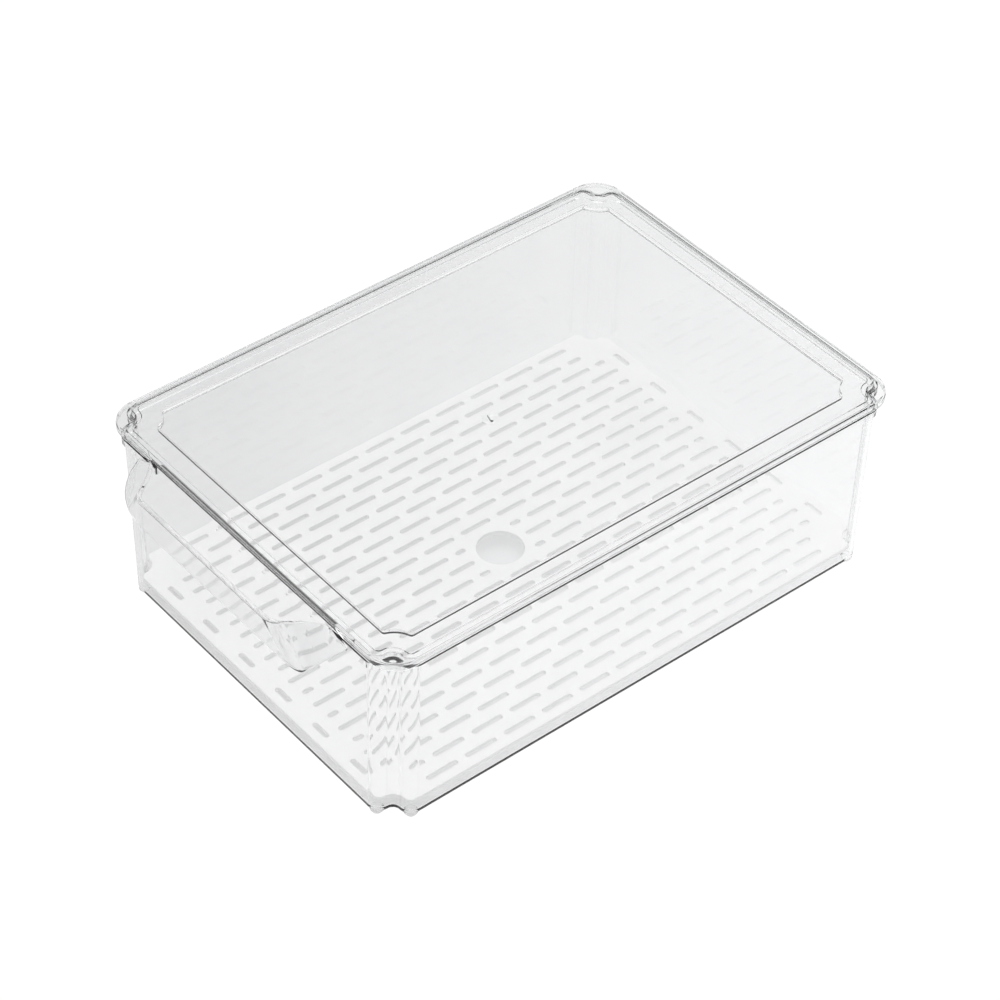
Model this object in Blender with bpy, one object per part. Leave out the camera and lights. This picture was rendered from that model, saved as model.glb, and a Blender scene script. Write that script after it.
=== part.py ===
"""Clear fridge bin: a notched-corner bin with a front loop handle, a lift-off lid and a slotted drain tray.

Frame: metres, +Z up, +Y along the length, the handle at -Y. The origin is the centre of the footprint.
"""
import math

import bmesh
import bpy
from mathutils import Vector

MM = 0.001

# Heights above the surface that the bin stands on.
FOOT_HEIGHT = 2.0 * MM
LEDGE_LOW = 91.7 * MM
LEDGE_TOP = 96.1 * MM
RIM_TOP = 98.2 * MM
LID_TOP = 100.3 * MM

# Bin walls: half length and half width of the outside at the floor and at the rim.
BASE_HALF = (145.7 * MM, 102.8 * MM)
RIM_HALF = (146.4 * MM, 104.0 * MM)
WALL = 1.8 * MM
FLOOR = 1.8 * MM
BASE_ROUND = 2.4 * MM
INNER_ROUND = 1.0 * MM
LEDGE_PROUD = 1.3 * MM
LEDGE_CHAMFER = 0.6 * MM
RIM_INSET = 0.9 * MM

# Concave flute in each vertical corner: its radius, the radius of the lobes beside it,
# and how far its centre lies outside the meeting point of the two walls (inside if negative).
CORNER_FLUTE = (3.5 * MM, 6.5 * MM, -6.2 * MM)
PANEL_FLUTE = (12.8 * MM, 1.4 * MM, 3.7 * MM)
CORNER_STEPS = 15

# Lid.
LID_HALF = (147.4 * MM, 105.0 * MM)
LID_CORNER = 15.0 * MM
LID_PLATE = 1.8 * MM
LID_GAP = 0.3 * MM
LID_SKIRT = 1.2 * MM
LID_EDGE_ROUND = 0.8 * MM
PANEL_HALF = (133.3 * MM, 91.05 * MM)
PANEL_DEPTH = 2.3 * MM
PANEL_DRAFT = 0.1 * MM
PANEL_STEP = 0.9 * MM
PLUG_CLEARANCE = 2.1 * MM
PLUG_DEPTH = 1.0 * MM

# Front handle: its top and bottom edges on the outer face, from the wall to the front corner,
# each point as distance from the middle, distance in front of the bin's centre and height.
HANDLE_TOP_ROOT = (66.2, 147.75, 98.3)
HANDLE_TOP_EDGE = ((64.6, 149.6, 100.2), (59.6, 153.8, 100.2), (55.9, 159.2, 100.2), (49.4, 168.6, 100.2))
HANDLE_LOW_ROOT = (77.3, 146.2, 93.8)
HANDLE_LOW_EDGE = ((76.0, 149.6, 92.8), (73.6, 156.2, 90.2), (69.2, 161.9, 84.0), (62.0, 163.1, 75.9))
HANDLE_EASE = (5.5 * MM, 10.0 * MM)
HANDLE_STEPS = 4
HANDLE_THICKNESS = 2.4 * MM
SKIRT_RELIEF = (67.0 * MM, 73.5 * MM)
LEDGE_RELIEF = (64.0 * MM, 64.0 * MM)

# Feet under the eight corner lobes.
FOOT_RADIUS = (2.6 * MM, 3.3 * MM, 3.0 * MM)
FOOT_LEVEL = (0.0, 1.5 * MM, 3.3 * MM)
FOOT_SIDES = 12
FOOT_PLACE = (3.9 * MM, 14.4 * MM)

# Drain tray: it stands on legs on the bin's floor.
TRAY_TOP = 9.25 * MM
TRAY_PLATE = 2.0 * MM
TRAY_CLEARANCE = 1.7 * MM
TRAY_EDGE_ROUND = 0.3 * MM
TRAY_LIFT = 0.3 * MM
LEG_RADIUS = 1.75 * MM
LEG_SIDES = 8
LEG_ROW = 9.5
LEG_COLUMNS = (-5.91, -1.97, 1.97, 5.91)
SLOT_PITCH = 22.0 * MM
ROW_PITCH = 9.3 * MM
SLOT_LENGTH = 17.2 * MM
SLOT_WIDTH = 2.6 * MM
ROWS = 10
COLUMNS = 5
DOT_LENGTH = 5.5 * MM
DOT_COLUMN = 5.72
SHORT_COLUMN = 5.30
SHORT_LENGTH = 7.7 * MM
END_COLUMN = 6.19
END_LENGTH = 10.8 * MM
END_ROWS = (-7.5, -4.5, -1.5, 1.5, 4.5, 7.5)
FINGER_RADIUS = 11.5 * MM
FINGER_SIDES = 32

# How far cutters run past what they cut, and how far the reliefs stay off the wall behind them.
CUT_MARGIN = 1.0 * MM
RELIEF_SKIN = 0.1 * MM

# Half the distance that the handle reaches in front of the bin, so that the origin is the centre
# of the footprint with the handle.
CENTRE_SHIFT = 0.5 * (HANDLE_TOP_EDGE[-1][1] * MM - RIM_HALF[0] - LEDGE_PROUD)


def clear_scene():
    """Remove every object that the scene starts with."""
    for thing in list(bpy.data.objects):
        bpy.data.objects.remove(thing, do_unlink=True)


def plastic(name, colour, roughness, alpha):
    """A moulded plastic."""
    made = bpy.data.materials.new(name)
    made.use_nodes = True
    shader = made.node_tree.nodes["Principled BSDF"]
    shader.inputs["Base Color"].default_value = (*colour, 1.0)
    shader.inputs["Roughness"].default_value = roughness
    shader.inputs["Metallic"].default_value = 0.0
    shader.inputs["Alpha"].default_value = alpha
    return made


def arc(centre, radius, start, end, count):
    """Points along an arc, with both of its ends."""
    angles = [start + (end - start) * i / (count - 1) for i in range(count)]
    return [(centre[0] + radius * math.cos(a), centre[1] + radius * math.sin(a)) for a in angles]


def all_corners(corner):
    """Repeat the points of the +X +Y corner round the other three, as one closed loop."""
    mirrored = corner[::-1]
    loop = list(corner)
    loop += [(-x, y) for x, y in mirrored]
    loop += [(-x, -y) for x, y in corner]
    loop += [(x, -y) for x, y in mirrored]
    return loop


def fluted_loop(half, flute, offset=0.0):
    """A rectangle with a concave flute at each corner, moved outwards by offset."""
    radius, lobe, outside = flute[0] - offset, flute[1] + offset, flute[2] - offset
    length, width = half[0] + offset, half[1] + offset
    reach = math.sqrt((radius + lobe) ** 2 - (outside + lobe) ** 2)
    centre = (width + outside, length + outside)
    side_lobe = (width - lobe, centre[1] - reach)
    end_lobe = (centre[0] - reach, length - lobe)
    turn = math.atan2(reach, outside + lobe)
    third = CORNER_STEPS // 3
    corner = arc(side_lobe, lobe, 0.0, turn, third)
    flute_end = 1.5 * math.pi - turn
    corner += arc(centre, radius, math.pi + turn, flute_end, third + 2)[1:-1]
    corner += arc(end_lobe, lobe, 0.5 * math.pi - turn, 0.5 * math.pi, third)
    return all_corners(corner)


def rounded_loop(half, radius):
    """A rectangle with round corners, with as many points as a fluted one."""
    centre = (half[1] - radius, half[0] - radius)
    return all_corners(arc(centre, radius, 0.0, 0.5 * math.pi, CORNER_STEPS))


def at_height(loop, height):
    """Lift a flat loop to a height."""
    return [Vector((x, y, height)) for x, y in loop]


def new_object(name, bm, colouring):
    """Turn a bmesh, laid out round the bin's own centre, into a named object with one material."""
    bmesh.ops.translate(bm, verts=bm.verts, vec=(0.0, CENTRE_SHIFT, 0.0))
    bmesh.ops.recalc_face_normals(bm, faces=bm.faces)
    if bm.calc_volume(signed=True) < 0.0:
        bmesh.ops.reverse_faces(bm, faces=bm.faces)
    mesh = bpy.data.meshes.new(name)
    bm.to_mesh(mesh)
    bm.free()
    mesh.materials.append(colouring)
    made = bpy.data.objects.new(name, mesh)
    bpy.context.scene.collection.objects.link(made)
    return made


def loft(name, rings, colouring):
    """A closed skin through rings of equal size, with a flat cap on the first and the last."""
    bm = bmesh.new()
    loops = [[bm.verts.new(point) for point in ring] for ring in rings]
    for low, high in zip(loops, loops[1:]):
        for i in range(len(low)):
            j = (i + 1) % len(low)
            bm.faces.new((low[i], low[j], high[j], high[i]))
    bm.faces.new(loops[0][::-1])
    bm.faces.new(loops[-1])
    return new_object(name, bm, colouring)


def prism(bm, loop, low, high):
    """Add a straight closed prism to a bmesh."""
    bottom = [bm.verts.new(point) for point in at_height(loop, low)]
    top = [bm.verts.new(point) for point in at_height(loop, high)]
    for i in range(len(loop)):
        j = (i + 1) % len(loop)
        bm.faces.new((bottom[i], bottom[j], top[j], top[i]))
    bm.faces.new(bottom[::-1])
    bm.faces.new(top)


def circle(centre, radius, sides):
    """A regular outline round a centre."""
    return arc(centre, radius, 0.0, 2.0 * math.pi * (sides - 1) / sides, sides)


def combine(target, tool, operation, twisted=False):
    """Apply a Boolean to an object and hide the tool from the build. A tool may have twisted quads."""
    tool.hide_render = True
    tool.display_type = "WIRE"
    change = target.modifiers.new(tool.name, "BOOLEAN")
    change.operation = operation
    change.solver = "EXACT"
    change.use_self = twisted
    change.object = tool


def wall_half(height):
    """Half length and half width of the bin's outside at a height: the walls lean out a little."""
    share = (height - FOOT_HEIGHT) / (RIM_TOP - FOOT_HEIGHT)
    return tuple(low + (high - low) * share for low, high in zip(BASE_HALF, RIM_HALF))


def wall_ring(height, offset):
    """The bin's fluted outline at a height, moved outwards by offset."""
    return at_height(fluted_loop(wall_half(height), CORNER_FLUTE, offset), height)


def foot_centres():
    """Centres of the eight feet in plan, one under the outer side of each corner lobe."""
    near, far = FOOT_PLACE
    side = (BASE_HALF[1] - near, BASE_HALF[0] - far)
    end = (BASE_HALF[1] - far, BASE_HALF[0] - near)
    return [(sx * x, sy * y) for x, y in (side, end) for sx in (1, -1) for sy in (1, -1)]


def bin_shell(colouring):
    """Floor, four walls with fluted corners, and the ledge and thin rim at the top."""
    floor_top = FOOT_HEIGHT + FLOOR
    lean = math.sin(math.radians(45.0))
    rings = [
        wall_ring(FOOT_HEIGHT, -BASE_ROUND),
        wall_ring(FOOT_HEIGHT + BASE_ROUND * (1.0 - lean), BASE_ROUND * (lean - 1.0)),
        wall_ring(FOOT_HEIGHT + BASE_ROUND, 0.0),
        wall_ring(LEDGE_LOW, 0.0),
        wall_ring(LEDGE_LOW + LEDGE_CHAMFER, LEDGE_PROUD),
        wall_ring(LEDGE_TOP, LEDGE_PROUD),
        wall_ring(LEDGE_TOP, -RIM_INSET),
        wall_ring(RIM_TOP, -RIM_INSET),
        wall_ring(RIM_TOP, -WALL),
        wall_ring(floor_top + INNER_ROUND, -WALL),
        wall_ring(floor_top, -WALL - INNER_ROUND),
    ]
    return loft("bin_body", rings, colouring)


def feet(colouring):
    """Eight short tapered feet under the corner lobes."""
    bm = bmesh.new()
    for centre in foot_centres():
        loops = [[bm.verts.new(point) for point in at_height(circle(centre, radius, FOOT_SIDES), height)]
                 for radius, height in zip(FOOT_RADIUS, FOOT_LEVEL)]
        for low, high in zip(loops, loops[1:]):
            for i in range(FOOT_SIDES):
                j = (i + 1) % FOOT_SIDES
                bm.faces.new((low[i], low[j], high[j], high[i]))
        bm.faces.new(loops[0][::-1])
        bm.faces.new(loops[-1])
    return new_object("feet_tool", bm, colouring)


def rounded_path(points, ease, steps):
    """A path through points, with each inner corner eased by a curve that starts a little before it."""
    path = [points[0]]
    for before, corner, after in zip(points, points[1:], points[2:]):
        start = corner + (before - corner) * min(ease / (before - corner).length, 0.49)
        end = corner + (after - corner) * min(ease / (after - corner).length, 0.49)
        for i in range(steps + 1):
            t = i / steps
            path.append(start * (1 - t) ** 2 + corner * 2 * t * (1 - t) + end * t ** 2)
    path.append(points[-1])
    return path


def handle_edge(root, half_edge, ease):
    """One long edge of the handle's outer face, from the left root to the right root."""
    left = [Vector((-x, -y, z)) * MM for x, y, z in half_edge]
    right = [Vector((x, -y, z)) * MM for x, y, z in half_edge[::-1]]
    start = Vector((-root[0], -root[1], root[2])) * MM
    finish = Vector((root[0], -root[1], root[2])) * MM
    return [start] + rounded_path(left + right, ease, HANDLE_STEPS) + [finish]


def handle(colouring):
    """The loop handle: a twisting band of even thickness whose arms rise to the ledge."""
    top = handle_edge(HANDLE_TOP_ROOT, HANDLE_TOP_EDGE, HANDLE_EASE[0])
    bottom = handle_edge(HANDLE_LOW_ROOT, HANDLE_LOW_EDGE, HANDLE_EASE[1])
    middle = [high.lerp(low, 0.5) for high, low in zip(top, bottom)]
    bm = bmesh.new()
    sections = []
    for i in range(len(top)):
        along = middle[min(i + 1, len(top) - 1)] - middle[max(i - 1, 0)]
        inward = (top[i] - bottom[i]).cross(along).normalized() * HANDLE_THICKNESS
        outer = (top[i], middle[i], bottom[i])
        inner = tuple(point + inward for point in outer[::-1])
        sections.append([bm.verts.new(corner) for corner in outer + inner])
    for near, far in zip(sections, sections[1:]):
        for i in range(len(near)):
            j = (i + 1) % len(near)
            bm.faces.new((near[i], near[j], far[j], far[i]))
    bm.faces.new(sections[0][::-1])
    bm.faces.new(sections[-1])
    return new_object("handle_tool", bm, colouring)


def relief(name, half, low, high, back, colouring):
    """A block that clears the ledge or the lid's skirt above the handle: narrower at its top than below."""
    front = -LID_HALF[0] - 2.0 * MM
    bm = bmesh.new()
    outline = [(-half[1], low), (half[1], low), (half[0], high), (-half[0], high)]
    near = [bm.verts.new((x, front, z)) for x, z in outline]
    far = [bm.verts.new((x, back, z)) for x, z in outline]
    for i in range(4):
        j = (i + 1) % 4
        bm.faces.new((near[i], near[j], far[j], far[i]))
    bm.faces.new(near[::-1])
    bm.faces.new(far)
    return new_object(name, bm, colouring)


def bin_body(colouring):
    """The bin in one moulding: shell, feet and handle."""
    body = bin_shell(colouring)
    ledge_cut = relief("ledge_relief_tool", LEDGE_RELIEF, LEDGE_LOW - CUT_MARGIN, LEDGE_TOP + CUT_MARGIN,
                       -RIM_HALF[0] - RELIEF_SKIN, colouring)
    combine(body, ledge_cut, "DIFFERENCE")
    combine(body, handle(colouring), "UNION", twisted=True)
    combine(body, feet(colouring), "UNION")
    return body


def lid(colouring):
    """Flat ring with a recessed fluted panel, an outer skirt and a shallow plug inside the rim."""
    ring_under = LID_TOP - LID_PLATE
    skirt_low = LEDGE_TOP + LID_GAP
    panel_top = LID_TOP - PANEL_DEPTH
    plug_low = ring_under - PLUG_DEPTH
    inset = WALL + PLUG_CLEARANCE
    plug_half = (RIM_HALF[0] - inset, RIM_HALF[1] - inset)
    plug_flute = (CORNER_FLUTE[0] + inset, max(CORNER_FLUTE[1] - inset, 0.1 * MM), CORNER_FLUTE[2] + inset)

    def outer(inset, height):
        half = (LID_HALF[0] - inset, LID_HALF[1] - inset)
        return at_height(rounded_loop(half, LID_CORNER - inset), height)

    def plug(height):
        return at_height(fluted_loop(plug_half, plug_flute), height)

    def panel(offset, height):
        return at_height(fluted_loop(PANEL_HALF, PANEL_FLUTE, offset), height)

    rings = [
        panel(-PANEL_DRAFT, panel_top),
        panel(0.0, LID_TOP - 0.2 * MM),
        panel(0.2 * MM, LID_TOP),
        outer(LID_EDGE_ROUND, LID_TOP),
        outer(0.0, LID_TOP - LID_EDGE_ROUND),
        outer(0.0, skirt_low),
        outer(LID_SKIRT, skirt_low),
        outer(LID_SKIRT, ring_under),
        plug(ring_under),
        plug(plug_low),
        panel(PANEL_STEP, plug_low),
        panel(PANEL_STEP - PANEL_DRAFT, panel_top - LID_PLATE),
    ]
    cover = loft("lid", rings, colouring)
    skirt_cut = relief("skirt_relief_tool", SKIRT_RELIEF, skirt_low - CUT_MARGIN, ring_under,
                       -LID_HALF[0] + LID_SKIRT + RELIEF_SKIN, colouring)
    combine(cover, skirt_cut, "DIFFERENCE")
    return cover


def slot(bm, centre, length, along_x=False):
    """One long hexagonal slot cutter through the tray."""
    half, radius = 0.5 * length, 0.5 * SLOT_WIDTH
    outline = [(radius, half - radius), (0.0, half), (-radius, half - radius),
               (-radius, radius - half), (0.0, -half), (radius, radius - half)]
    if along_x:
        outline = [(y, -x) for x, y in outline]
    placed = [(centre[0] + x, centre[1] + y) for x, y in outline]
    prism(bm, placed, TRAY_TOP - TRAY_PLATE - CUT_MARGIN, TRAY_TOP + CUT_MARGIN)


def row_slots(row):
    """Slots of one row as pairs of column position and length."""
    if abs(row) == ROWS:
        return [(column, SLOT_LENGTH) for column in range(-COLUMNS, COLUMNS + 1)]
    if row % 2 == 0:
        found = [(column, SLOT_LENGTH) for column in range(-COLUMNS, COLUMNS + 1)]
        found += [(-DOT_COLUMN, DOT_LENGTH), (DOT_COLUMN, DOT_LENGTH)]
        if row == 0:
            found = [(c, n) for c, n in found if abs(c) > 1.5]
            found += [(-1.06, SLOT_LENGTH - 2.5 * MM), (1.06, SLOT_LENGTH - 2.5 * MM)]
        return found
    found = [(column + 0.5, SLOT_LENGTH) for column in range(-COLUMNS - 1, COLUMNS + 1)]
    if abs(row) == ROWS - 1:
        found = found[1:-1] + [(-SHORT_COLUMN, SHORT_LENGTH), (SHORT_COLUMN, SHORT_LENGTH)]
    if abs(row) == 1:
        found = [(c, n) for c, n in found if abs(c) > 1.0] + [(-0.76, DOT_LENGTH), (0.76, DOT_LENGTH)]
    return found


def tray_cutters(colouring):
    """Every slot of the tray and its round finger hole, as separate prisms."""
    bm = bmesh.new()
    for row in range(-ROWS, ROWS + 1):
        for column, length in row_slots(row):
            slot(bm, (row * ROW_PITCH, column * SLOT_PITCH), length)
    for side in (-1, 1):
        for row in END_ROWS:
            slot(bm, (row * ROW_PITCH, side * END_COLUMN * SLOT_PITCH), END_LENGTH, along_x=True)
    prism(bm, circle((0.0, 0.0), FINGER_RADIUS, FINGER_SIDES), TRAY_TOP - TRAY_PLATE - CUT_MARGIN,
          TRAY_TOP + CUT_MARGIN)
    return new_object("slot_tool", bm, colouring)


def tray_legs(colouring):
    """Eight short legs along the tray's two long edges, between the slots."""
    bm = bmesh.new()
    low = FOOT_HEIGHT + FLOOR + TRAY_LIFT
    high = TRAY_TOP - 0.75 * TRAY_PLATE
    for row in (-LEG_ROW, LEG_ROW):
        for column in LEG_COLUMNS:
            centre = (row * ROW_PITCH, column * SLOT_PITCH)
            prism(bm, circle(centre, LEG_RADIUS, LEG_SIDES), low, high)
    return new_object("leg_tool", bm, colouring)


def drain_tray(colouring):
    """White slotted plate on short legs, with corners notched like the bin's."""
    inset = WALL + TRAY_CLEARANCE
    outline = fluted_loop(wall_half(TRAY_TOP - TRAY_PLATE), CORNER_FLUTE, -inset)
    soft = fluted_loop(wall_half(TRAY_TOP - TRAY_PLATE), CORNER_FLUTE, -inset - TRAY_EDGE_ROUND)
    rings = [
        at_height(outline, TRAY_TOP - TRAY_PLATE),
        at_height(outline, TRAY_TOP - TRAY_EDGE_ROUND),
        at_height(soft, TRAY_TOP),
    ]
    tray = loft("drain_tray", rings, colouring)
    combine(tray, tray_cutters(colouring), "DIFFERENCE")
    combine(tray, tray_legs(colouring), "UNION")
    return tray


def main():
    clear_scene()
    clear = plastic("clear_plastic", (0.93, 0.95, 0.96), 0.06, 0.25)
    white = plastic("white_plastic", (0.90, 0.90, 0.90), 0.35, 1.0)
    bin_body(clear)
    lid(clear)
    drain_tray(white)


main()
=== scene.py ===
import math

import bmesh
import bpy
from mathutils import Matrix, Vector
from mathutils.geometry import delaunay_2d_cdt


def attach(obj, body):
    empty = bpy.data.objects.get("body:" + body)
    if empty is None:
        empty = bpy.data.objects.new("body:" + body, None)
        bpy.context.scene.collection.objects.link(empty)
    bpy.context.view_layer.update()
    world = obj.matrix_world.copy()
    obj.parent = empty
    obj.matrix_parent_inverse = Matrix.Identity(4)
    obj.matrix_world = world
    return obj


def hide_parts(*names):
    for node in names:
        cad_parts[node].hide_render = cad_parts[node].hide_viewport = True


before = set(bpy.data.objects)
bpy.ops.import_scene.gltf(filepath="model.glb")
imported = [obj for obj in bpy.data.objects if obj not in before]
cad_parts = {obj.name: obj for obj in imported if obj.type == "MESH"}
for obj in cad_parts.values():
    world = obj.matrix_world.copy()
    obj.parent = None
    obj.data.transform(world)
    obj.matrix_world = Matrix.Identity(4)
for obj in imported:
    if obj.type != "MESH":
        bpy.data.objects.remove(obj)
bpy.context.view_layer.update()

MM = 0.001

# Heights above the surface that the bin stands on.
FOOT_HEIGHT = 2.0 * MM
LEDGE_LOW = 91.7 * MM
LEDGE_TOP = 96.1 * MM
RIM_TOP = 98.2 * MM
LID_TOP = 100.3 * MM

# Bin. A half is half the length along Y and half the width along X, a round is the radius of an edge, and a
# flat is a level stretch beside one.
BASE_HALF = (145.7 * MM, 102.8 * MM)
RIM_HALF = (146.4 * MM, 104.0 * MM)
WALL = 1.8 * MM
FLOOR = 1.8 * MM
BASE_FLAT = 0.6 * MM
BASE_ROUND = 2.4 * MM
INNER_ROUND = 1.3 * MM
INNER_FLAT = 0.3 * MM
LEDGE_PROUD = 1.3 * MM
LEDGE_CHAMFER = 0.6 * MM
LEDGE_ROUNDS = (0.4 * MM, 0.3 * MM, 0.35 * MM)
RIM_INSET = 0.9 * MM
RIM_ROOT_ROUND = 0.25 * MM
RIM_ROUND = 0.3 * MM

# A fluted corner is a hollow between two lobes. It has the hollow's radius, the lobes' radius, and how far
# the hollow's centre lies outside both walls, which is less than nothing where it lies inside them.
CORNER_FLUTE = (3.5 * MM, 6.5 * MM, -6.2 * MM)
PANEL_FLUTE = (12.8 * MM, 1.4 * MM, 3.7 * MM)
CORNER_STEPS = 42
ROUND_STEPS = 5
NEARLY_STRAIGHT = math.radians(179.0)
SHARP_EDGE = math.radians(32.0)

# Lid.
LID_HALF = (147.4 * MM, 105.0 * MM)
LID_CORNER = 15.0 * MM
LID_PLATE = 1.8 * MM
LID_GAP = 0.3 * MM
LID_SKIRT = 1.2 * MM
LID_EDGE_ROUND = 1.6 * MM
SKIRT_ROUND = 0.3 * MM
PLUG_CLEARANCE = 2.1 * MM
PLUG_DEPTH = 1.0 * MM
PLUG_ROUNDS = (0.15 * MM, 0.3 * MM)
PANEL_HALF = (133.3 * MM, 91.05 * MM)
PANEL_DEPTH = 2.3 * MM
PANEL_DRAFT = 0.1 * MM
PANEL_ROUNDS = (0.15 * MM, 0.2 * MM)
PANEL_FLAT = 0.5 * MM
RING_FLAT = 2.0 * MM
SKIRT_FLAT = 0.6 * MM
PLUG_FLATS = (0.3 * MM, 0.5 * MM, 0.8 * MM)

# Filling mark in the lid's panel. The dish has a radius and a depth, and its tool flares to a mouth above the
# panel. The ridge in it has a half length, a half width and a height, a profile as shares of the last two,
# and a turn in degrees.
GATE_PLACE = (2.6 * MM, -10.3 * MM)
GATE_DISH = (4.6 * MM, 0.35 * MM)
DISH_MOUTH = (1.08, 0.5 * MM)
DISH_TAPER = 0.72
DISH_CURVE = 1.5
DISH_LIP = 0.02 * MM
DISH_STEPS = 8
DISH_SIDES = 40
GATE_RIDGE = (1.9 * MM, 0.7 * MM, 0.75 * MM)
RIDGE_PROFILE = ((1.0, -0.8), (1.0, 0.5), (0.9, 0.8), (0.6, 1.0))
RIDGE_END_POINTS = 9
GATE_TURN = -16.0

# Handle, in millimetres as distance from the middle, distance in front of the bin's centre and height. The
# top and the low edge of its outer face each start at a root in the ledge, and are mirrored at the middle.
HANDLE_TOP_ROOT = (66.2, 147.75, 98.3)
HANDLE_TOP_EDGE = ((64.6, 149.6, 100.2), (59.6, 153.8, 100.2), (55.9, 159.2, 100.2), (49.4, 168.6, 100.2))
HANDLE_LOW_ROOT = (77.3, 146.2, 93.8)
HANDLE_LOW_EDGE = ((76.0, 149.6, 92.8), (73.6, 156.2, 90.2), (69.2, 161.9, 84.0), (62.0, 163.1, 75.9))
HANDLE_EASE = (5.5 * MM, 10.0 * MM)
HANDLE_STEPS = 9
EASE_LIMIT = 0.49
HANDLE_THICKNESS = 2.4 * MM
HANDLE_ROUND = 0.7 * MM
HANDLE_ROUND_POINTS = 5

# Openings for the handle in the lid's skirt, which widens downwards, and in the bin's ledge, as half widths.
# Their tools reach a little past the surfaces that they cut.
SKIRT_RELIEF = (67.0 * MM, 73.5 * MM)
RELIEF_STEPS = 8
LEDGE_RELIEF = 64.0 * MM
CUT_PAST = 1.0 * MM
CUT_REACH = 2.0 * MM
CUT_MARGIN = 0.1 * MM

# Feet under the eight corner lobes: a profile of radius and height in millimetres, and how far a foot's
# centre stands from the nearer and from the farther wall.
FOOT_PROFILE = ((2.0, 0.0), (2.4, 0.12), (2.6, 0.45), (3.3, 1.5), (3.0, 3.3))
FOOT_SIDES = 28
FOOT_PLACE = (3.9 * MM, 14.4 * MM)

# Drain tray. The round of its outer edge and of its holes has a radius, and an inset from both faces for the
# point halfway round.
TRAY_TOP = 9.25 * MM
TRAY_PLATE = 2.0 * MM
TRAY_INSET = 3.5 * MM
TRAY_ROUND = (0.3 * MM, 0.09 * MM)
HOLE_ROUND = (0.35 * MM, 0.1 * MM)
TRAY_LIFT = 0.3 * MM
LEG_RADIUS = 1.75 * MM
LEG_ROUND = 0.2 * MM
LEG_SIDES = 20

# Holes and legs of the tray. Rows are counted across it in ROW_PITCH and columns along it in SLOT_PITCH. The
# last two tell how a row makes room for the finger hole: how far the slots are dropped, and the column and
# length of the slot put at each side of the gap.
SLOT_PITCH = 22.0 * MM
ROW_PITCH = 9.3 * MM
SLOT_LENGTH = 17.2 * MM
SLOT_WIDTH = 2.6 * MM
SLOT_END_POINTS = 7
ROWS = 10
COLUMNS = 5
LEG_ROW = 9.5
LEG_COLUMNS = (-5.91, -1.97, 1.97, 5.91)
DOT_LENGTH = 5.5 * MM
DOT_COLUMN = 5.72
SHORT_COLUMN = 5.30
SHORT_LENGTH = 7.7 * MM
END_COLUMN = 6.19
END_LENGTH = 10.8 * MM
END_ROWS = (-7.5, -4.5, -1.5, 1.5, 4.5, 7.5)
FINGER_RADIUS = 11.5 * MM
FINGER_SIDES = 64
BESIDE_FINGER = (1.5, 1.06, SLOT_LENGTH - 2.5 * MM)
NEXT_TO_FINGER = (1.0, 0.76, DOT_LENGTH)

CENTRE_SHIFT = 0.5 * (HANDLE_TOP_EDGE[-1][1] * MM - RIM_HALF[0] - LEDGE_PROUD)

# Clear plastic: flow waves in the tint and the surface, and a haze. Scales are features per metre.
CLEAR_IOR = 1.5
CLEAR_TINTS = ((0.930, 0.933, 0.937), (0.945, 0.947, 0.950))
FLOW_SCALE = 26.0
FLOW_HEIGHT = 0.02 * MM
HAZE_SCALE = 120.0
HAZE_MOST = 0.02

# White plastic: a slowly changing tone, and a fine grain.
WHITE_IOR = 1.48
WHITE_TINTS = ((0.90, 0.90, 0.90), (0.93, 0.93, 0.928))
WHITE_ROUGHNESS = (0.38, 0.5)
SCATTER_WEIGHT = 0.6
SCATTER_REACH = 3.0 * MM
TONE_SCALE = 40.0
GRAIN_SCALE = 2400.0
GRAIN_HEIGHT = 0.03 * MM
GRAIN_STRENGTH = 0.5

# Studio: brightness of the surroundings by height, of a screen behind the bin, of the lamp and of the floor.
WORLD_HORIZON = 0.25
WORLD_MIDDLE = 0.5
WORLD_MIDDLE_AT = 0.45
WORLD_TOP = 1.08
WORLD_SCREEN = 0.9
SCREEN_REACH = 0.8
SCREEN_FADE = (0.1, 0.6)
LAMP_POWER = 20.0
LAMP_SIZE = 2.4
LAMP_PLACE = (-0.6, 0.5, 2.6)
FLOOR_SIZE = 12.0
FLOOR_CELLS = 8
FLOOR_TONE = 0.59
FLOOR_FIBRE = 0.01
FIBRE_SCALE = 60.0
FLOOR_GLOW = (0.24, 0.46)
GLOW_REACH = 0.18
FLOOR_WHITE = 1.04

# Camera: the direction that it looks from, its turn about that direction, and what it looks at.
CAMERA_AZIMUTH = math.radians(49.656)
CAMERA_ELEVATION = math.radians(42.172)
CAMERA_ROLL = math.radians(1.528)
CAMERA_TARGET = Vector((-0.0120, 0.0196, 0.0267))
CAMERA_DISTANCE = 1.4998
CAMERA_LENS = 114.44
CAMERA_SENSOR = 36.0

# Light bounces, enough to pass through all the clear walls.
BOUNCES = 32
CLEAR_BOUNCES = 28
GLOSS_BOUNCES = 10
MATT_BOUNCES = 8


# ---------------------------------------------------------------- outlines

def arc(centre, radius, start, end, count):
    """Points along an arc, with both of its ends."""
    angles = [start + (end - start) * i / (count - 1) for i in range(count)]
    return [(centre[0] + radius * math.cos(a), centre[1] + radius * math.sin(a)) for a in angles]


def circle(centre, radius, sides):
    """A regular outline round a centre."""
    return arc(centre, radius, 0.0, 2.0 * math.pi * (sides - 1) / sides, sides)


def all_corners(corner):
    """Repeat the points of the +X +Y corner round the other three, as one closed loop."""
    mirrored = corner[::-1]
    loop = list(corner)
    loop += [(-x, y) for x, y in mirrored]
    loop += [(-x, -y) for x, y in corner]
    loop += [(x, -y) for x, y in mirrored]
    return loop


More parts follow.
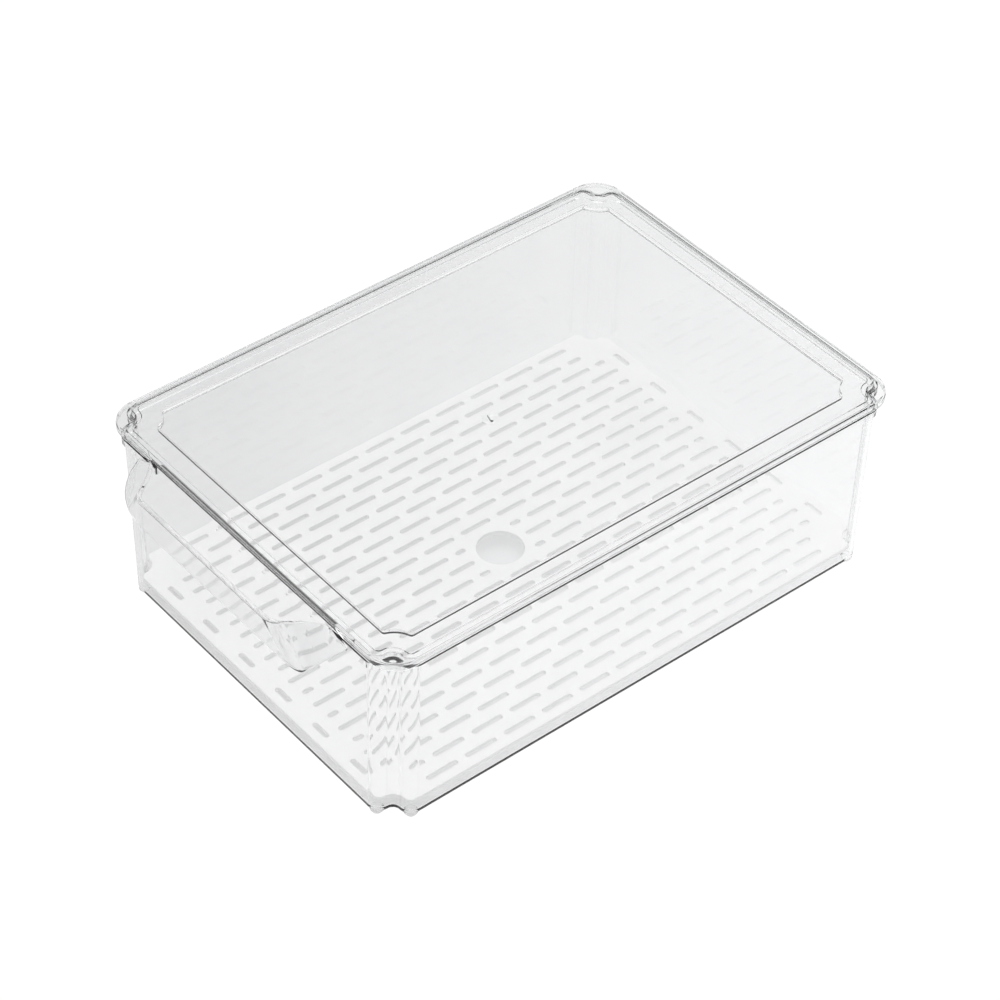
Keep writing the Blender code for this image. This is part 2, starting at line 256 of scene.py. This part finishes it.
def fluted_loop(half, flute, offset=0.0):
    """A rectangle with a concave flute at each corner, moved outwards by offset."""
    radius, lobe, outside = flute[0] - offset, flute[1] + offset, flute[2] - offset
    length, width = half[0] + offset, half[1] + offset
    reach = math.sqrt((radius + lobe) ** 2 - (outside + lobe) ** 2)
    centre = (width + outside, length + outside)
    side_lobe = (width - lobe, centre[1] - reach)
    end_lobe = (centre[0] - reach, length - lobe)
    turn = math.atan2(reach, outside + lobe)
    third = CORNER_STEPS // 3
    corner = arc(side_lobe, lobe, 0.0, turn, third)
    flute_end = 1.5 * math.pi - turn
    corner += arc(centre, radius, math.pi + turn, flute_end, third + 2)[1:-1]
    corner += arc(end_lobe, lobe, 0.5 * math.pi - turn, 0.5 * math.pi, third)
    return all_corners(corner)


def rounded_loop(half, radius):
    """A rectangle with round corners, with as many points as a fluted one."""
    centre = (half[1] - radius, half[0] - radius)
    return all_corners(arc(centre, radius, 0.0, 0.5 * math.pi, CORNER_STEPS))


def at_height(loop, height):
    """Lift a flat loop to a height."""
    return [Vector((x, y, height)) for x, y in loop]


def eased(corners):
    """A profile of (offset, height, radius) corners, with each corner rounded to its radius."""
    path = [corners[0][:2]]
    for before, corner, after in zip(corners, corners[1:], corners[2:]):
        point, radius = Vector(corner[:2]), corner[2]
        to_before = (Vector(before[:2]) - point).normalized()
        to_after = (Vector(after[:2]) - point).normalized()
        inside = to_before.angle(to_after)
        if radius <= 0.0 or inside > NEARLY_STRAIGHT:
            path.append(tuple(point))
            continue
        centre = point + (to_before + to_after).normalized() * radius / math.sin(0.5 * inside)
        reach = radius / math.tan(0.5 * inside)
        first, last = point + to_before * reach - centre, point + to_after * reach - centre
        turn = math.pi - inside
        for i in range(ROUND_STEPS + 1):
            share = i / ROUND_STEPS
            mixed = first * math.sin((1.0 - share) * turn) + last * math.sin(share * turn)
            path.append(tuple(centre + mixed / math.sin(turn)))
    path.append(corners[-1][:2])
    return path


# ---------------------------------------------------------------- meshes

def place(name, bm):
    """Turn a bmesh, laid out round the bin's own centre, into an object."""
    bmesh.ops.translate(bm, verts=bm.verts, vec=(0.0, CENTRE_SHIFT, 0.0))
    bmesh.ops.recalc_face_normals(bm, faces=bm.faces)
    if bm.calc_volume(signed=True) < 0.0:
        bmesh.ops.reverse_faces(bm, faces=bm.faces)
    mesh = bpy.data.meshes.new(name)
    bm.to_mesh(mesh)
    bm.free()
    made = bpy.data.objects.new(name, mesh)
    bpy.context.scene.collection.objects.link(made)
    return made


def skin(bm, rings):
    """Faces between rings of equal size, open at both ends. Returns the rings as loops of vertices."""
    loops = [[bm.verts.new(point) for point in ring] for ring in rings]
    for low, high in zip(loops, loops[1:]):
        for i in range(len(low)):
            j = (i + 1) % len(low)
            bm.faces.new((low[i], low[j], high[j], high[i]))
    return loops


def capped_skin(bm, rings):
    """A closed skin through rings of equal size, with a cap on the first and the last."""
    loops = skin(bm, rings)
    bm.faces.new(loops[0][::-1])
    bm.faces.new(loops[-1])


def loft(name, rings):
    """An object with a closed skin through rings of equal size."""
    bm = bmesh.new()
    capped_skin(bm, rings)
    return place(name, bm)


def combine(target, tool, operation, twisted=False):
    """Add a Boolean with another object. A twisted one may cross itself."""
    change = target.modifiers.new(tool.name, "BOOLEAN")
    change.operation = operation
    change.solver = "EXACT"
    change.use_self = twisted
    change.object = tool


def apply_modifiers(target):
    """Give an object the mesh that its modifiers make, and drop the modifiers."""
    depsgraph = bpy.context.evaluated_depsgraph_get()
    mesh = bpy.data.meshes.new_from_object(target.evaluated_get(depsgraph))
    target.modifiers.clear()
    old, target.data = target.data, mesh
    bpy.data.meshes.remove(old)
    mesh.name = target.name


def finished(target, tools):
    """Apply an object's modifiers, remove the tools, and shade it smooth but for its sharp edges."""
    apply_modifiers(target)
    for tool in tools:
        bpy.data.objects.remove(tool, do_unlink=True)
    for face in target.data.polygons:
        face.use_smooth = True
    target.data.set_sharp_from_angle(angle=SHARP_EDGE)
    weighted = target.modifiers.new("weighted_normals", "WEIGHTED_NORMAL")
    weighted.keep_sharp = True
    apply_modifiers(target)
    return target


def block(name, outline, front, back):
    """A block that reaches from front to back in Y, with an outline in X and Z."""
    return loft(name, [[Vector((x, y, z)) for x, z in outline] for y in (front, back)])


# ---------------------------------------------------------------- bin

def wall_half(height):
    """Half length and half width of the bin's outside at a height: the walls lean out a little."""
    share = (height - FOOT_HEIGHT) / (RIM_TOP - FOOT_HEIGHT)
    return tuple(low + (high - low) * share for low, high in zip(BASE_HALF, RIM_HALF))


def wall_ring(offset, height):
    """The bin's fluted outline at a height, moved outwards by offset."""
    return at_height(fluted_loop(wall_half(height), CORNER_FLUTE, offset), height)


def bin_shell():
    """Floor, four walls with fluted corners, and the ledge and thin rim at the top."""
    floor_top = FOOT_HEIGHT + FLOOR
    corners = [
        (-BASE_ROUND - BASE_FLAT, FOOT_HEIGHT, 0.0),
        (0.0, FOOT_HEIGHT, BASE_ROUND),
        (0.0, LEDGE_LOW, LEDGE_ROUNDS[0]),
        (LEDGE_PROUD, LEDGE_LOW + LEDGE_CHAMFER, LEDGE_ROUNDS[1]),
        (LEDGE_PROUD, LEDGE_TOP, LEDGE_ROUNDS[2]),
        (-RIM_INSET, LEDGE_TOP, RIM_ROOT_ROUND),
        (-RIM_INSET, RIM_TOP, RIM_ROUND),
        (-WALL, RIM_TOP, RIM_ROUND),
        (-WALL, floor_top, INNER_ROUND),
        (-WALL - INNER_ROUND - INNER_FLAT, floor_top, 0.0),
    ]
    return loft("bin_shell", [wall_ring(*point) for point in eased(corners)])


def foot_centres():
    """Centres of the eight feet in plan, one under the outer side of each corner lobe."""
    near, far = FOOT_PLACE
    side = (BASE_HALF[1] - near, BASE_HALF[0] - far)
    end = (BASE_HALF[1] - far, BASE_HALF[0] - near)
    return [(sx * x, sy * y) for x, y in (side, end) for sx in (1, -1) for sy in (1, -1)]


def feet():
    """Eight short tapered feet under the corner lobes."""
    bm = bmesh.new()
    for centre in foot_centres():
        capped_skin(bm, [at_height(circle(centre, radius * MM, FOOT_SIDES), height * MM)
                         for radius, height in FOOT_PROFILE])
    return place("feet_tool", bm)


def rounded_path(points, ease):
    """A path through points, with each inner corner eased by a curve that starts a little before it."""
    path = [points[0]]
    for before, corner, after in zip(points, points[1:], points[2:]):
        start = corner + (before - corner) * min(ease / (before - corner).length, EASE_LIMIT)
        end = corner + (after - corner) * min(ease / (after - corner).length, EASE_LIMIT)
        for i in range(HANDLE_STEPS + 1):
            t = i / HANDLE_STEPS
            path.append(start * (1 - t) ** 2 + corner * 2 * t * (1 - t) + end * t ** 2)
    path.append(points[-1])
    return path


def handle_edge(root, half_edge, ease):
    """One long edge of the handle's outer face, from the left root to the right root."""
    left = [Vector((-x, -y, z)) * MM for x, y, z in half_edge]
    right = [Vector((x, -y, z)) * MM for x, y, z in half_edge[::-1]]
    start = Vector((-root[0], -root[1], root[2])) * MM
    finish = Vector((root[0], -root[1], root[2])) * MM
    return [start] + rounded_path(left + right, ease) + [finish]


def band_section(top, bottom, inward):
    """A section of the handle's band: a thin rectangle with round edges."""
    down = (bottom - top).normalized()
    wide, deep, edge = (bottom - top).length, HANDLE_THICKNESS, HANDLE_ROUND
    section = []
    for x, y, start in ((edge, edge, math.pi), (wide - edge, edge, 1.5 * math.pi),
                        (wide - edge, deep - edge, 0.0), (edge, deep - edge, 0.5 * math.pi)):
        section += arc((x, y), edge, start, start + 0.5 * math.pi, HANDLE_ROUND_POINTS)
    return [top + down * along + inward * across for along, across in section]


def handle():
    """The loop handle: a twisting band of even thickness whose arms rise to the ledge."""
    top = handle_edge(HANDLE_TOP_ROOT, HANDLE_TOP_EDGE, HANDLE_EASE[0])
    bottom = handle_edge(HANDLE_LOW_ROOT, HANDLE_LOW_EDGE, HANDLE_EASE[1])
    middle = [high.lerp(low, 0.5) for high, low in zip(top, bottom)]
    sections = []
    for i in range(len(top)):
        along = middle[min(i + 1, len(top) - 1)] - middle[max(i - 1, 0)]
        inward = (top[i] - bottom[i]).cross(along).normalized()
        sections.append(band_section(top[i], bottom[i], inward))
    return loft("handle_tool", sections)


def bin_body():
    """The bin in one moulding: shell, feet and handle."""
    body = bin_shell()
    low, high = LEDGE_LOW - CUT_PAST, LEDGE_TOP + CUT_PAST
    outline = [(-LEDGE_RELIEF, low), (LEDGE_RELIEF, low), (LEDGE_RELIEF, high), (-LEDGE_RELIEF, high)]
    cut = block("ledge_tool", outline, -LID_HALF[0] - CUT_REACH, -RIM_HALF[0] - CUT_MARGIN)
    band, studs = handle(), feet()
    combine(body, cut, "DIFFERENCE")
    combine(body, band, "UNION", twisted=True)
    combine(body, studs, "UNION")
    body.name = "bin_moulding"
    return finished(body, [cut, band, studs])


# ---------------------------------------------------------------- lid

def relief_outline():
    """The opening in the lid's skirt above the handle, with smoothly curved ends."""
    low, high = LEDGE_TOP + LID_GAP - CUT_PAST, LID_TOP - LID_PLATE
    narrow, broad = SKIRT_RELIEF
    right = [(broad, low)]
    for i in range(RELIEF_STEPS + 1):
        share = i / RELIEF_STEPS
        smooth = share * share * (3.0 - 2.0 * share)
        right.append((broad + (narrow - broad) * smooth, low + CUT_PAST + (high - low - CUT_PAST) * share))
    return right + [(-x, z) for x, z in right[::-1]]


def gate_mark():
    """A shallow round dish in the panel, where the moulding was filled."""
    surface = LID_TOP - PANEL_DEPTH
    radius, depth = GATE_DISH
    flare, rise = DISH_MOUTH
    rings = [at_height(circle(GATE_PLACE, radius * flare, DISH_SIDES), surface + rise)]
    for i in range(DISH_STEPS + 1):
        share = i / DISH_STEPS
        height = surface + DISH_LIP - depth * math.sin(0.5 * math.pi * share) ** DISH_CURVE
        rings.append(at_height(circle(GATE_PLACE, radius * (1.0 - share * DISH_TAPER), DISH_SIDES), height))
    return loft("gate_tool", rings)


def gate_nub():
    """The short ridge left in the middle of the dish, where the runner was trimmed."""
    base = LID_TOP - PANEL_DEPTH - GATE_DISH[1]
    reach, radius, height = GATE_RIDGE
    turn = math.radians(GATE_TURN)

    def outline(share):
        ends = arc((reach, 0.0), radius * share, -0.5 * math.pi, 0.5 * math.pi, RIDGE_END_POINTS)
        ends += arc((-reach, 0.0), radius * share, 0.5 * math.pi, 1.5 * math.pi, RIDGE_END_POINTS)
        return [(GATE_PLACE[0] + x * math.cos(turn) - y * math.sin(turn),
                 GATE_PLACE[1] + x * math.sin(turn) + y * math.cos(turn)) for x, y in ends]

    return loft("nub_tool", [at_height(outline(share), base + height * level)
                             for share, level in RIDGE_PROFILE])


def lid_cover():
    """Flat ring with a recessed fluted panel, an outer skirt and a shallow plug inside the rim."""
    ring_under, skirt_low = LID_TOP - LID_PLATE, LEDGE_TOP + LID_GAP
    panel_top = LID_TOP - PANEL_DEPTH
    plug_low, panel_low = ring_under - PLUG_DEPTH, panel_top - LID_PLATE
    inset = WALL + PLUG_CLEARANCE
    plug_flute = (CORNER_FLUTE[0] + inset, CORNER_FLUTE[1] - inset, CORNER_FLUTE[2] + inset)
    plug_half = (RIM_HALF[0] - inset, RIM_HALF[1] - inset)

    def outer(offset, height):
        half = (LID_HALF[0] + offset, LID_HALF[1] + offset)
        return at_height(rounded_loop(half, LID_CORNER + offset), height)

    def plug(offset, height):
        half = (plug_half[0] + offset, plug_half[1] + offset)
        return at_height(fluted_loop(half, plug_flute), height)

    def panel(offset, height):
        return at_height(fluted_loop(PANEL_HALF, PANEL_FLUTE, offset), height)

    over = eased([(-PANEL_DRAFT - PANEL_FLAT, panel_top, 0.0), (-PANEL_DRAFT, panel_top, PANEL_ROUNDS[0]),
                  (0.0, LID_TOP, PANEL_ROUNDS[1]), (RING_FLAT, LID_TOP, 0.0)])
    rim = eased([(-RING_FLAT, LID_TOP, 0.0), (0.0, LID_TOP, LID_EDGE_ROUND), (0.0, skirt_low, SKIRT_ROUND),
                 (-LID_SKIRT, skirt_low, SKIRT_ROUND), (-LID_SKIRT, ring_under, SKIRT_ROUND),
                 (-LID_SKIRT - SKIRT_FLAT, ring_under, 0.0)])
    step = eased([(PLUG_FLATS[0], ring_under, 0.0), (0.0, ring_under, PLUG_ROUNDS[0]),
                  (0.0, plug_low, PLUG_ROUNDS[1]), (-PLUG_FLATS[1], plug_low, 0.0)])
    under = eased([(PLUG_FLATS[2], plug_low, 0.0), (0.0, plug_low, PANEL_ROUNDS[1]),
                   (0.0, panel_low, PANEL_ROUNDS[1]), (-PANEL_FLAT, panel_low, 0.0)])
    rings = [panel(*point) for point in over] + [outer(*point) for point in rim]
    rings += [plug(*point) for point in step] + [panel(*point) for point in under]
    return loft("lid_moulding", rings)


def lid():
    """The lid in one moulding: cover, opening above the handle, and filling mark."""
    cover = lid_cover()
    cut = block("skirt_tool", relief_outline(), -LID_HALF[0] - CUT_REACH,
                -LID_HALF[0] + LID_SKIRT + CUT_MARGIN)
    dish, nub = gate_mark(), gate_nub()
    combine(cover, cut, "DIFFERENCE")
    combine(cover, dish, "DIFFERENCE")
    combine(cover, nub, "UNION")
    return finished(cover, [cut, dish, nub])


# ---------------------------------------------------------------- tray

def slot_loop(centre, length, grown, along_x=False):
    """The outline of one slot with round ends, grown outwards a little."""
    reach, radius = 0.5 * (length - SLOT_WIDTH), 0.5 * SLOT_WIDTH + grown
    outline = arc((0.0, reach), radius, 0.0, math.pi, SLOT_END_POINTS)
    outline += arc((0.0, -reach), radius, math.pi, 2.0 * math.pi, SLOT_END_POINTS)
    if along_x:
        outline = [(y, -x) for x, y in outline]
    return [(centre[0] + x, centre[1] + y) for x, y in outline]


def make_room(slots, room):
    """Drop a row's slots near its middle, and put one at each side of the gap instead."""
    reach, column, length = room
    return [slot for slot in slots if abs(slot[0]) > reach] + [(-column, length), (column, length)]


def row_slots(row):
    """Slots of one row as pairs of column position and length."""
    if row % 2 == 0:
        found = [(column, SLOT_LENGTH) for column in range(-COLUMNS, COLUMNS + 1)]
        if abs(row) < ROWS:
            found += [(-DOT_COLUMN, DOT_LENGTH), (DOT_COLUMN, DOT_LENGTH)]
        return make_room(found, BESIDE_FINGER) if row == 0 else found
    found = [(column + 0.5, SLOT_LENGTH) for column in range(-COLUMNS - 1, COLUMNS + 1)]
    if abs(row) == ROWS - 1:
        found = found[1:-1] + [(-SHORT_COLUMN, SHORT_LENGTH), (SHORT_COLUMN, SHORT_LENGTH)]
    return make_room(found, NEXT_TO_FINGER) if abs(row) == 1 else found


def tray_holes(grown):
    """Outlines of every hole through the tray, grown outwards a little."""
    loops = []
    for row in range(-ROWS, ROWS + 1):
        for column, length in row_slots(row):
            loops.append(slot_loop((row * ROW_PITCH, column * SLOT_PITCH), length, grown))
    for side in (-1, 1):
        for row in END_ROWS:
            centre = (row * ROW_PITCH, side * END_COLUMN * SLOT_PITCH)
            loops.append(slot_loop(centre, END_LENGTH, grown, along_x=True))
    loops.append(circle((0.0, 0.0), FINGER_RADIUS + grown, FINGER_SIDES))
    return loops


def fill_sheet(bm, outline, holes, upwards):
    """Flat faces between an outline and the holes in it, given as loops of vertices."""
    loops = [outline] + holes
    vertices = [vertex for loop in loops for vertex in loop]
    points = [Vector((vertex.co.x, vertex.co.y)) for vertex in vertices]
    faces, start = [], 0
    for loop in loops:
        faces.append(list(range(start, start + len(loop))))
        start += len(loop)
    _, _, triangles, point_origins, _, sources = delaunay_2d_cdt(points, [], faces, 1, 1e-9)
    for triangle, source in zip(triangles, sources):
        # A triangle of the sheet lies in the outline, which is face 0, and in no hole.
        if list(source) == [0]:
            corners = [vertices[point_origins[i][0]] for i in triangle]
            bm.faces.new(corners if upwards else corners[::-1])


def tray_legs(bm, bottom):
    """Eight short legs in two rows. Returns the loops of vertices where they meet the plate."""
    base = FOOT_HEIGHT + FLOOR + TRAY_LIFT
    profile = ((LEG_RADIUS, bottom), (LEG_RADIUS, base + LEG_ROUND), (LEG_RADIUS - LEG_ROUND, base))
    roots = []
    for row in (-LEG_ROW, LEG_ROW):
        for column in LEG_COLUMNS:
            centre = (row * ROW_PITCH, column * SLOT_PITCH)
            leg = skin(bm, [at_height(circle(centre, radius, LEG_SIDES), height)
                            for radius, height in profile])
            bm.faces.new(leg[-1])
            roots.append(leg[0])
    return roots


def eased_edge(bottom, edge_round, outwards):
    """A profile of (offset, height) for an upright edge of the plate whose top is rounded."""
    whole, part = edge_round
    return [(0.0, bottom), (0.0, TRAY_TOP - whole), (outwards * part, TRAY_TOP - part),
            (outwards * whole, TRAY_TOP)]


def drain_tray():
    """White slotted plate on short legs, with corners notched like the bin's."""
    bottom = TRAY_TOP - TRAY_PLATE
    half = wall_half(bottom)
    bm = bmesh.new()
    outside = skin(bm, [at_height(fluted_loop(half, CORNER_FLUTE, offset - TRAY_INSET), height)
                        for offset, height in eased_edge(bottom, TRAY_ROUND, -1.0)])
    hole_edge = eased_edge(bottom, HOLE_ROUND, 1.0)
    levels = [tray_holes(grown) for grown, height in hole_edge]
    holes = [skin(bm, [at_height(loop, height) for loop, (grown, height) in zip(hole_loops, hole_edge)])
             for hole_loops in zip(*levels)]
    legs = tray_legs(bm, bottom)
    fill_sheet(bm, outside[-1], [hole[-1] for hole in holes], upwards=True)
    fill_sheet(bm, outside[0], [hole[0] for hole in holes] + legs, upwards=False)
    return finished(place("drain_tray_plate", bm), [])


# ---------------------------------------------------------------- plastics

def start_material(name):
    """A new material, with its node tree and its Principled shader."""
    made = bpy.data.materials.new(name)
    made.use_nodes = True
    return made, made.node_tree, made.node_tree.nodes["Principled BSDF"]


def noise(tree, scale, detail=2.0, roughness=0.5):
    """Noise in the piece's own coordinates, in features per metre."""
    place_in = tree.nodes.new("ShaderNodeTexCoord")
    made = tree.nodes.new("ShaderNodeTexNoise")
    made.inputs["Scale"].default_value = scale
    made.inputs["Detail"].default_value = detail
    made.inputs["Roughness"].default_value = roughness
    tree.links.new(place_in.outputs["Object"], made.inputs["Vector"])
    return made.outputs["Fac"]


def remap(tree, source, low, high, from_low=0.3, from_high=0.7):
    """Stretch a value to a range. The range that it comes from suits a noise."""
    made = tree.nodes.new("ShaderNodeMapRange")
    made.inputs["From Min"].default_value = from_low
    made.inputs["From Max"].default_value = from_high
    made.inputs["To Min"].default_value = low
    made.inputs["To Max"].default_value = high
    tree.links.new(source, made.inputs["Value"])
    return made.outputs["Result"]


def toward(tree, vector, direction):
    """How far a vector reaches in a direction."""
    made = tree.nodes.new("ShaderNodeVectorMath")
    made.operation = "DOT_PRODUCT"
    made.inputs[1].default_value = direction
    tree.links.new(vector, made.inputs[0])
    return made.outputs["Value"]


def blend_colours(tree, factor, first, second):
    """A colour between two."""
    made = tree.nodes.new("ShaderNodeMix")
    made.data_type = "RGBA"
    made.inputs["A"].default_value = (*first, 1.0)
    made.inputs["B"].default_value = (*second, 1.0)
    tree.links.new(factor, made.inputs["Factor"])
    return made.outputs["Result"]


def bump(tree, height, distance, strength=1.0):
    """A bump from a height between 0 and 1."""
    made = tree.nodes.new("ShaderNodeBump")
    made.inputs["Strength"].default_value = strength
    made.inputs["Distance"].default_value = distance
    tree.links.new(height, made.inputs["Height"])
    return made.outputs["Normal"]


def clear_plastic():
    """Polished clear plastic: faint flow waves and a very light haze that varies."""
    made, tree, shader = start_material("clear_moulded_plastic")
    shader.inputs["Transmission Weight"].default_value = 1.0
    shader.inputs["IOR"].default_value = CLEAR_IOR
    flow = noise(tree, FLOW_SCALE, detail=1.0)
    haze = noise(tree, HAZE_SCALE, detail=4.0, roughness=0.6)
    tint = blend_colours(tree, remap(tree, flow, 0.0, 1.0), *CLEAR_TINTS)
    tree.links.new(tint, shader.inputs["Base Color"])
    tree.links.new(remap(tree, haze, 0.0, HAZE_MOST), shader.inputs["Roughness"])
    tree.links.new(bump(tree, flow, FLOW_HEIGHT), shader.inputs["Normal"])
    return made


def white_plastic():
    """Opaque white plastic with a fine matt grain."""
    made, tree, shader = start_material("white_moulded_plastic")
    shader.inputs["IOR"].default_value = WHITE_IOR
    shader.inputs["Subsurface Weight"].default_value = SCATTER_WEIGHT
    shader.inputs["Subsurface Radius"].default_value = (1.0, 1.0, 1.0)
    shader.inputs["Subsurface Scale"].default_value = SCATTER_REACH
    tone = noise(tree, TONE_SCALE, detail=3.0)
    grain = noise(tree, GRAIN_SCALE, detail=2.0, roughness=0.6)
    tint = blend_colours(tree, remap(tree, tone, 0.0, 1.0), *WHITE_TINTS)
    tree.links.new(tint, shader.inputs["Base Color"])
    tree.links.new(remap(tree, tone, *WHITE_ROUGHNESS), shader.inputs["Roughness"])
    tree.links.new(bump(tree, grain, GRAIN_HEIGHT, GRAIN_STRENGTH), shader.inputs["Normal"])
    return made


def dress(piece, material, body, node):
    """Give a piece its material and its body, and hide the CAD node that it stands for."""
    piece.data.materials.clear()
    piece.data.materials.append(material)
    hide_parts(node)
    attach(piece, body)


def lets_light_through(piece):
    """A clear piece throws no shadow, and light bouncing off matt surfaces passes it unchanged."""
    piece.visible_shadow = False
    piece.visible_diffuse = False


# ---------------------------------------------------------------- studio

def seen_as(tree, around, direct, surface):
    """Use one shader where the camera sees a surface directly, and another for all the light from it."""
    path = tree.nodes.new("ShaderNodeLightPath")
    mix = tree.nodes.new("ShaderNodeMixShader")
    tree.links.new(path.outputs["Is Camera Ray"], mix.inputs["Fac"])
    tree.links.new(around, mix.inputs[1])
    tree.links.new(direct, mix.inputs[2])
    tree.links.new(mix.outputs["Shader"], surface)


def floor_paper():
    """Matt paper that glows a little, more on the right, and is pure white where it is seen directly."""
    made, tree, shader = start_material("studio_paper")
    fibre = remap(tree, noise(tree, FIBRE_SCALE, detail=3.0), 0.0, 1.0)
    tint = blend_colours(tree, fibre, [FLOOR_TONE] * 3, [FLOOR_TONE + FLOOR_FIBRE] * 3)
    tree.links.new(tint, shader.inputs["Base Color"])
    shader.inputs["Roughness"].default_value = 1.0
    shader.inputs["Specular IOR Level"].default_value = 0.0
    shader.inputs["Emission Color"].default_value = (1.0, 1.0, 1.0, 1.0)
    place_in = tree.nodes.new("ShaderNodeTexCoord")
    rightwards = (math.cos(CAMERA_AZIMUTH), math.sin(CAMERA_AZIMUTH), 0.0)
    across = toward(tree, place_in.outputs["Object"], rightwards)
    glow = remap(tree, across, *FLOOR_GLOW, -GLOW_REACH, GLOW_REACH)
    tree.links.new(glow, shader.inputs["Emission Strength"])
    plain = tree.nodes.new("ShaderNodeEmission")
    plain.inputs["Strength"].default_value = FLOOR_WHITE
    surface = tree.nodes["Material Output"].inputs["Surface"]
    seen_as(tree, shader.outputs["BSDF"], plain.outputs["Emission"], surface)
    return made


def studio_floor():
    """A plain pale floor, far wider than the bin."""
    bm = bmesh.new()
    bmesh.ops.create_grid(bm, x_segments=FLOOR_CELLS, y_segments=FLOOR_CELLS, size=FLOOR_SIZE)
    mesh = bpy.data.meshes.new("studio_floor")
    bm.to_mesh(mesh)
    bm.free()
    mesh.materials.append(floor_paper())
    floor = bpy.data.objects.new("studio_floor", mesh)
    bpy.context.scene.collection.objects.link(floor)


def sky_ramp(tree, height):
    """Grey that brightens from the horizon to overhead."""
    ramp = tree.nodes.new("ShaderNodeValToRGB")
    ramp.color_ramp.interpolation = "EASE"
    stops = ramp.color_ramp.elements
    stops[0].position, stops[0].color = 0.0, (*[WORLD_HORIZON] * 3, 1.0)
    stops[1].position, stops[1].color = 1.0, (*[WORLD_TOP] * 3, 1.0)
    stops.new(WORLD_MIDDLE_AT).color = (*[WORLD_MIDDLE] * 3, 1.0)
    tree.links.new(height, ramp.inputs["Fac"])
    return ramp.outputs["Color"]


def pale_screen(tree, where, height):
    """The glow of a screen that stands low behind the bin and fades out upwards."""
    backwards = (-math.sin(CAMERA_AZIMUTH), math.cos(CAMERA_AZIMUTH), 0.0)
    screen = remap(tree, toward(tree, where, backwards), 0.0, WORLD_SCREEN, 0.0, SCREEN_REACH)
    low_down = remap(tree, height, 1.0, 0.0, *SCREEN_FADE)
    glow = tree.nodes.new("ShaderNodeMath")
    glow.operation = "MULTIPLY"
    tree.links.new(screen, glow.inputs[0])
    tree.links.new(low_down, glow.inputs[1])
    return glow.outputs["Value"]


def studio_world():
    """Soft light from all round: bright overhead, dim at the horizon, and a pale screen behind the bin."""
    world = bpy.data.worlds.new("studio")
    bpy.context.scene.world = world
    world.use_nodes = True
    tree = world.node_tree
    tree.nodes.clear()
    out = tree.nodes.new("ShaderNodeOutputWorld")
    where = tree.nodes.new("ShaderNodeTexCoord").outputs["Generated"]
    split = tree.nodes.new("ShaderNodeSeparateXYZ")
    tree.links.new(where, split.inputs[0])
    total = tree.nodes.new("ShaderNodeMix")
    total.data_type, total.blend_type = "RGBA", "ADD"
    total.inputs["Factor"].default_value = 1.0
    tree.links.new(sky_ramp(tree, split.outputs["Z"]), total.inputs["A"])
    tree.links.new(pale_screen(tree, where, split.outputs["Z"]), total.inputs["B"])
    around, white = (tree.nodes.new("ShaderNodeBackground") for _ in range(2))
    tree.links.new(total.outputs["Result"], around.inputs["Color"])
    white.inputs["Color"].default_value = (1.0, 1.0, 1.0, 1.0)
    seen_as(tree, around.outputs["Background"], white.outputs["Background"], out.inputs["Surface"])


def studio_light():
    """A broad soft light overhead."""
    lamp = bpy.data.lights.new("overhead_softbox", "AREA")
    lamp.shape = "RECTANGLE"
    lamp.size, lamp.size_y = LAMP_SIZE, LAMP_SIZE
    lamp.energy = LAMP_POWER
    made = bpy.data.objects.new("overhead_softbox", lamp)
    made.location = LAMP_PLACE
    made.rotation_mode = "QUATERNION"
    made.rotation_quaternion = Vector(LAMP_PLACE).to_track_quat("Z", "Y")
    bpy.context.scene.collection.objects.link(made)


def camera():
    """The camera, from its direction, turn and distance."""
    a, e, r = CAMERA_AZIMUTH, CAMERA_ELEVATION, CAMERA_ROLL
    back = Vector((math.sin(a) * math.cos(e), -math.cos(a) * math.cos(e), math.sin(e)))
    right = Vector((math.cos(a), math.sin(a), 0.0))
    up = back.cross(right)
    turned_right = right * math.cos(r) + up * math.sin(r)
    turned_up = up * math.cos(r) - right * math.sin(r)
    data = bpy.data.cameras.new("camera")
    data.lens = CAMERA_LENS
    data.sensor_width = CAMERA_SENSOR
    made = bpy.data.objects.new("camera", data)
    pose = Matrix((turned_right, turned_up, back)).transposed().to_4x4()
    pose.translation = CAMERA_TARGET + back * CAMERA_DISTANCE
    made.matrix_world = pose
    bpy.context.scene.collection.objects.link(made)
    bpy.context.scene.camera = made


def picture_settings():
    """Plain tones, and the light bounces."""
    scene = bpy.context.scene
    scene.view_settings.view_transform = "Standard"
    scene.view_settings.look = "None"
    scene.view_settings.exposure = 0.0
    scene.cycles.max_bounces = BOUNCES
    scene.cycles.transmission_bounces = CLEAR_BOUNCES
    scene.cycles.glossy_bounces = GLOSS_BOUNCES
    scene.cycles.diffuse_bounces = MATT_BOUNCES
    scene.cycles.caustics_reflective = False
    scene.cycles.caustics_refractive = False


clear, white = clear_plastic(), white_plastic()
moulding, cover, plate = bin_body(), lid(), drain_tray()
dress(moulding, clear, "bin", "bin_body")
dress(cover, clear, "lid", "lid")
dress(plate, white, "tray", "drain_tray")
for piece in (moulding, cover):
    lets_light_through(piece)
studio_floor()
studio_world()
studio_light()
camera()
picture_settings()
